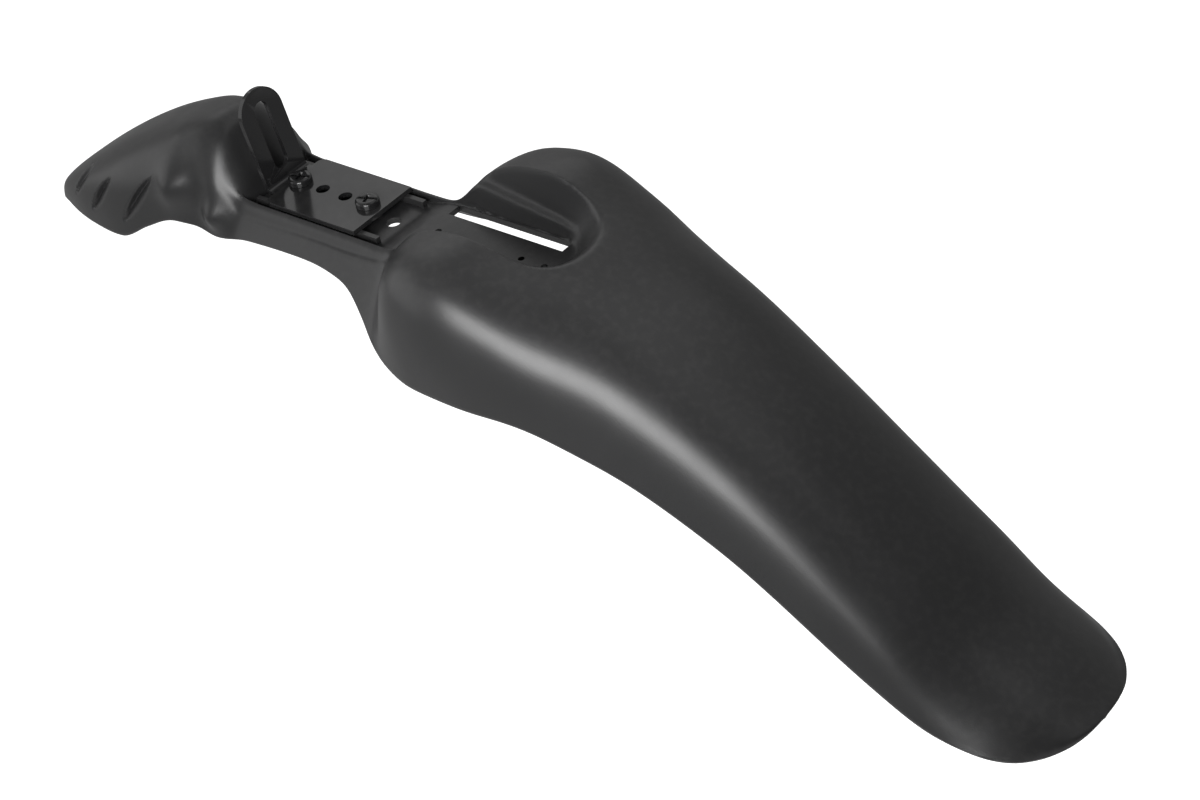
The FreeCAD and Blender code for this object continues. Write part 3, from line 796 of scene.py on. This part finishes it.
def nut(end, x):
    """The hexagon nut under one washer: chamfered corners and a countersunk bore."""
    corner = NUT_FLATS / math.sqrt(3)
    bottom = NUT_TOP - NUT_HEIGHT
    bm = bmesh.new()
    made = bmesh.ops.create_cone(
        bm, cap_ends=True, segments=6, radius1=corner * MM, radius2=corner * MM, depth=NUT_HEIGHT * MM,
    )
    turn = Matrix.Rotation(math.radians(30), 3, "Z")
    bmesh.ops.rotate(bm, verts=made["verts"], cent=(0, 0, 0), matrix=turn)
    bmesh.ops.translate(bm, verts=bm.verts, vec=Vector((x, 0, NUT_TOP - NUT_HEIGHT / 2)) * MM)
    piece = new_piece(end + "_hex_nut", bm, "nut_steel", end + "_nut")
    rise = (corner - NUT_FLATS / 2) * math.tan(NUT_CHAMFER)
    barrel = bmesh.new()
    turned(barrel, [
        (0.0, NUT_TOP), (NUT_FLATS / 2, NUT_TOP), (corner + 0.01, NUT_TOP - rise),
        (corner + 0.01, bottom + rise), (NUT_FLATS / 2, bottom), (0.0, bottom),
    ], x, 96)
    combine(piece, barrel, "INTERSECT")
    narrow = THREAD_RADIUS + BORE_CLEARANCE
    wide = narrow + BORE_CHAMFER
    bore = bmesh.new()
    turned(bore, [
        (0.0, NUT_TOP + 1), (wide, NUT_TOP + BORE_CHAMFER), (narrow, NUT_TOP - BORE_CHAMFER),
        (narrow, bottom + BORE_CHAMFER), (wide, bottom - BORE_CHAMFER), (0.0, bottom - 1),
    ], x, 48)
    combine(piece, bore, "DIFFERENCE")
    soften(piece, 0.08, 2, 25)
    shade(piece, 40)
    return piece


def group(name, inputs, outputs):
    """A node group with float inputs (name, value) and outputs (name, socket type)."""
    tree = bpy.data.node_groups.new(name, "ShaderNodeTree")
    for label, value in inputs:
        socket = tree.interface.new_socket(label, in_out="INPUT", socket_type="NodeSocketFloat")
        socket.default_value = value
    for label, kind in outputs:
        tree.interface.new_socket(label, in_out="OUTPUT", socket_type=kind)
    way_in = tree.nodes.new("NodeGroupInput")
    way_out = tree.nodes.new("NodeGroupOutput")
    return tree, way_in, way_out


def maths(tree, operation, a, b=None, clamp=False):
    """A maths node fed by sockets or plain numbers; returns its output."""
    node = tree.nodes.new("ShaderNodeMath")
    node.operation = operation
    node.use_clamp = clamp
    for socket, value in zip(node.inputs, (a, b)):
        if value is None:
            continue
        if isinstance(value, (int, float)):
            socket.default_value = value
        else:
            tree.links.new(value, socket)
    return node.outputs[0]


def noise(tree, scale, detail):
    """Noise over the object's own coordinates; scale is a number or a socket."""
    place = tree.nodes.new("ShaderNodeTexCoord")
    pattern = tree.nodes.new("ShaderNodeTexNoise")
    pattern.inputs["Detail"].default_value = detail
    if isinstance(scale, float):
        pattern.inputs["Scale"].default_value = scale
    else:
        tree.links.new(scale, pattern.inputs["Scale"])
    tree.links.new(place.outputs["Object"], pattern.inputs["Vector"])
    return pattern.outputs["Fac"]


def fine_grain():
    """Surface grain: a bump normal, and broad unevenness from 0 to 1."""
    inputs = [("Scale", 1800.0), ("Height", 0.1)]
    outputs = [("Normal", "NodeSocketVector"), ("Unevenness", "NodeSocketFloat")]
    tree, way_in, way_out = group("fine_grain", inputs, outputs)
    bump = tree.nodes.new("ShaderNodeBump")
    bump.inputs["Distance"].default_value = 0.0001
    tree.links.new(way_in.outputs["Height"], bump.inputs["Strength"])
    tree.links.new(noise(tree, way_in.outputs["Scale"], 3.0), bump.inputs["Height"])
    tree.links.new(bump.outputs["Normal"], way_out.inputs["Normal"])
    tree.links.new(noise(tree, 45.0, 4.0), way_out.inputs["Unevenness"])
    return tree


def edge_wear():
    """Mask of edges rubbed by handling, broken up by noise."""
    tree, way_in, way_out = group("edge_wear", [("Reach", 0.5)], [("Mask", "NodeSocketFloat")])
    shape = tree.nodes.new("ShaderNodeNewGeometry")
    high = maths(tree, "SUBTRACT", shape.outputs["Pointiness"], 0.52)
    edge = maths(tree, "MULTIPLY", high, 9.0, clamp=True)
    patches = maths(tree, "MULTIPLY", noise(tree, 140.0, 4.0), edge)
    mask = maths(tree, "MULTIPLY", patches, way_in.outputs["Reach"], clamp=True)
    tree.links.new(mask, way_out.inputs["Mask"])
    return tree


def light_dust():
    """Mask of the thin dust that lies on faces turned up."""
    tree, way_in, way_out = group("light_dust", [("Amount", 0.3)], [("Mask", "NodeSocketFloat")])
    shape = tree.nodes.new("ShaderNodeNewGeometry")
    parts = tree.nodes.new("ShaderNodeSeparateXYZ")
    tree.links.new(shape.outputs["True Normal"], parts.inputs[0])
    level = maths(tree, "MULTIPLY", maths(tree, "SUBTRACT", parts.outputs["Z"], 0.3), 1.4, clamp=True)
    flecks = maths(tree, "SUBTRACT", noise(tree, 320.0, 5.0), 0.45)
    flecks = maths(tree, "MULTIPLY", flecks, 4.0, clamp=True)
    settled = maths(tree, "MULTIPLY", level, flecks)
    mask = maths(tree, "MULTIPLY", settled, way_in.outputs["Amount"], clamp=True)
    tree.links.new(mask, way_out.inputs["Mask"])
    return tree


def use(material, tree, **values):
    """An instance of a node group in a material, with its inputs set."""
    node = material.node_tree.nodes.new("ShaderNodeGroup")
    node.node_tree = tree
    for label, value in values.items():
        node.inputs[label].default_value = value
    return node


def mixed(tree, mask, low, high):
    """Colour that goes from low to high with a mask; each end is a colour or a socket."""
    node = tree.nodes.new("ShaderNodeMix")
    node.data_type = "RGBA"
    tree.links.new(mask, node.inputs[0])
    ends = [socket for socket in node.inputs if socket.type == "RGBA"]
    for socket, value in zip(ends, (low, high)):
        if isinstance(value, tuple):
            socket.default_value = value + (1,)
        else:
            tree.links.new(value, socket)
    return [socket for socket in node.outputs if socket.type == "RGBA"][0]


def ranged(tree, mask, low, high):
    """Number that goes from low to high with a mask."""
    node = tree.nodes.new("ShaderNodeMapRange")
    node.inputs["To Min"].default_value = low
    node.inputs["To Max"].default_value = high
    tree.links.new(mask, node.inputs["Value"])
    return node.outputs["Result"]


DUST_COLOUR = (0.16, 0.155, 0.15)


def surface(name, effects, colour, rubbed, roughness, metallic, grain_scale, grain_height, wear, dust):
    """A material with grain, rubbed edges and a trace of dust from the shared groups."""
    grain_tree, wear_tree, dust_tree = effects
    material = bpy.data.materials.new(name)
    material.use_nodes = True
    tree = material.node_tree
    shader = tree.nodes["Principled BSDF"]
    shader.inputs["Metallic"].default_value = metallic
    grain = use(material, grain_tree, Scale=grain_scale, Height=grain_height)
    edges = use(material, wear_tree, Reach=wear)
    dusty = use(material, dust_tree, Amount=dust)
    worn = mixed(tree, edges.outputs["Mask"], colour, rubbed)
    dusted = mixed(tree, dusty.outputs["Mask"], worn, DUST_COLOUR)
    uneven = ranged(tree, grain.outputs["Unevenness"], roughness[0], roughness[1])
    tree.links.new(dusted, shader.inputs["Base Color"])
    tree.links.new(uneven, shader.inputs["Roughness"])
    tree.links.new(grain.outputs["Normal"], shader.inputs["Normal"])
    return material


def give(piece, material):
    """Put one material on a piece."""
    piece.data.materials.clear()
    piece.data.materials.append(material)


# The photograph's camera: the pixel that shows the frame's origin, and the lens in pixels
PHOTO_WIDTH = 1200
PHOTO_HEIGHT = 800
ORIGIN_PIXEL = (337.36, 193.76)
FOCAL_PIXELS = 2833.0
CAMERA_AZIMUTH = math.radians(-46.11)
CAMERA_ELEVATION = math.radians(36.74)
CAMERA_ROLL = math.radians(-11.77)
CAMERA_DISTANCE = 1.0796
SENSOR_WIDTH = 36.0


def camera():
    """Camera at the photograph's place."""
    level = math.cos(CAMERA_ELEVATION)
    forward = Vector((
        math.sin(CAMERA_AZIMUTH) * level,
        math.cos(CAMERA_AZIMUTH) * level,
        -math.sin(CAMERA_ELEVATION),
    ))
    flat_right = Vector((math.cos(CAMERA_AZIMUTH), -math.sin(CAMERA_AZIMUTH), 0))
    flat_down = forward.cross(flat_right)
    right = flat_right * math.cos(CAMERA_ROLL) - flat_down * math.sin(CAMERA_ROLL)
    down = flat_right * math.sin(CAMERA_ROLL) + flat_down * math.cos(CAMERA_ROLL)
    across = (ORIGIN_PIXEL[0] - PHOTO_WIDTH / 2) / FOCAL_PIXELS * CAMERA_DISTANCE
    below = (ORIGIN_PIXEL[1] - PHOTO_HEIGHT / 2) / FOCAL_PIXELS * CAMERA_DISTANCE
    place = -(right * across + down * below + forward * CAMERA_DISTANCE)
    data = bpy.data.cameras.new("photo_camera")
    data.lens = SENSOR_WIDTH * FOCAL_PIXELS / PHOTO_WIDTH
    data.sensor_width = SENSOR_WIDTH
    data.clip_start = 0.01
    data.clip_end = 20
    eye = bpy.data.objects.new("photo_camera", data)
    eye.matrix_world = Matrix((
        (right.x, -down.x, -forward.x, place.x),
        (right.y, -down.y, -forward.y, place.y),
        (right.z, -down.z, -forward.z, place.z),
        (0, 0, 0, 1),
    ))
    bpy.context.scene.collection.objects.link(eye)
    bpy.context.scene.camera = eye


# Studio light: the surround, weaker towards its dim side, and the floor
WORLD_LIGHT = 0.36
DIM_LIGHT = 0.06
DIM_SIDE = (0.787, -0.139, 0.602)
DIM_REACH = (0.35, 0.95)
FLOOR_HEIGHT = -0.30
FLOOR_SIZE = 6.0
FLOOR_GLOW = 0.9

# Lamps: (name, place, aim, width, height, power)
LAMPS = [
    ("key", (0.212, -0.34, 0.16), (0.2, 0, -0.03), 0.30, 0.19, 2.0),
    ("nose_side", (-1.17, -0.72, 0.37), (0.08, 0, -0.02), 1.5, 1.0, 3.3),
    ("back_top", (-0.61, 0.67, 0.70), (0.08, 0, -0.02), 1.0, 0.6, 0.9),
    ("top", (0.55, 0.45, 1.3), (0.14, 0, -0.03), 1.4, 0.9, 2.1),
]


def lamp(name, place, aim, width, height, power):
    """A square-cornered lamp that faces its aim."""
    data = bpy.data.lights.new(name, "AREA")
    data.shape = "RECTANGLE"
    data.size = width
    data.size_y = height
    data.energy = power
    light = bpy.data.objects.new(name, data)
    light.location = place
    light.rotation_mode = "QUATERNION"
    light.rotation_quaternion = (Vector(aim) - Vector(place)).to_track_quat("-Z", "Y")
    bpy.context.scene.collection.objects.link(light)


def pale_floor():
    """Floor material that takes shadows and is white where the camera sees it."""
    material = bpy.data.materials.new("pale_floor")
    material.use_nodes = True
    nodes = material.node_tree.nodes
    links = material.node_tree.links
    matt = nodes["Principled BSDF"]
    matt.inputs["Base Color"].default_value = (0.8, 0.8, 0.8, 1)
    matt.inputs["Roughness"].default_value = 0.9
    white = nodes.new("ShaderNodeEmission")
    white.inputs["Strength"].default_value = FLOOR_GLOW
    both = nodes.new("ShaderNodeAddShader")
    path = nodes.new("ShaderNodeLightPath")
    shown = nodes.new("ShaderNodeMixShader")
    links.new(matt.outputs[0], both.inputs[0])
    links.new(white.outputs[0], both.inputs[1])
    links.new(path.outputs["Is Camera Ray"], shown.inputs[0])
    links.new(matt.outputs[0], shown.inputs[1])
    links.new(both.outputs[0], shown.inputs[2])
    links.new(shown.outputs[0], nodes["Material Output"].inputs["Surface"])
    return material


def studio():
    """The floor, the lamps and the surround."""
    bm = bmesh.new()
    bmesh.ops.create_grid(bm, x_segments=1, y_segments=1, size=FLOOR_SIZE)
    bmesh.ops.translate(bm, verts=bm.verts, vec=(0, 0, FLOOR_HEIGHT))
    mesh = bpy.data.meshes.new("floor")
    bm.to_mesh(mesh)
    bm.free()
    floor = bpy.data.objects.new("floor", mesh)
    bpy.context.scene.collection.objects.link(floor)
    give(floor, pale_floor())
    for values in LAMPS:
        lamp(*values)
    surround()


def surround():
    """Even light all round, weaker towards one side, and white where the camera sees it."""
    world = bpy.data.worlds.new("studio")
    world.use_nodes = True
    tree = world.node_tree
    place = tree.nodes.new("ShaderNodeTexCoord")
    facing = tree.nodes.new("ShaderNodeVectorMath")
    facing.operation = "DOT_PRODUCT"
    facing.inputs[1].default_value = DIM_SIDE
    tree.links.new(place.outputs["Generated"], facing.inputs[0])
    level = tree.nodes.new("ShaderNodeMapRange")
    level.interpolation_type = "SMOOTHSTEP"
    level.inputs["From Min"].default_value = DIM_REACH[0]
    level.inputs["From Max"].default_value = DIM_REACH[1]
    level.inputs["To Min"].default_value = WORLD_LIGHT
    level.inputs["To Max"].default_value = DIM_LIGHT
    tree.links.new(facing.outputs["Value"], level.inputs["Value"])
    path = tree.nodes.new("ShaderNodeLightPath")
    seen = maths(tree, "MAXIMUM", level.outputs["Result"], path.outputs["Is Camera Ray"])
    tree.links.new(seen, tree.nodes["Background"].inputs["Strength"])
    tree.nodes["Background"].inputs["Color"].default_value = (1, 1, 1, 1)
    bpy.context.scene.world = world


camera()
studio()
effects = (fine_grain(), edge_wear(), light_dust())
moulding = surface(
    "satin_black_moulding", effects, colour=(0.02, 0.02, 0.0205), rubbed=(0.035, 0.035, 0.035),
    roughness=(0.28, 0.4), metallic=0.0, grain_scale=2200.0, grain_height=0.25, wear=0.6, dust=0.06,
)
coating = surface(
    "gloss_black_coating", effects, colour=(0.012, 0.012, 0.0125), rubbed=(0.06, 0.06, 0.06),
    roughness=(0.08, 0.16), metallic=0.0, grain_scale=900.0, grain_height=0.05, wear=0.5, dust=0.05,
)
zinc = surface(
    "zinc_plated_steel", effects, colour=(0.55, 0.55, 0.56), rubbed=(0.7, 0.7, 0.7),
    roughness=(0.22, 0.38), metallic=1.0, grain_scale=1500.0, grain_height=0.2, wear=0.8, dust=0.08,
)
give(moulded_shell(), moulding)
give(bracket(), coating)
screw_places = {"front": hole_places()[0], "rear": hole_places()[3]}
for fastener, finish in ((screw, coating), (washer, zinc), (nut, zinc)):
    for end, x in screw_places.items():
        give(fastener(end, x), finish)

bpy.context.scene.view_settings.view_transform = "Standard"
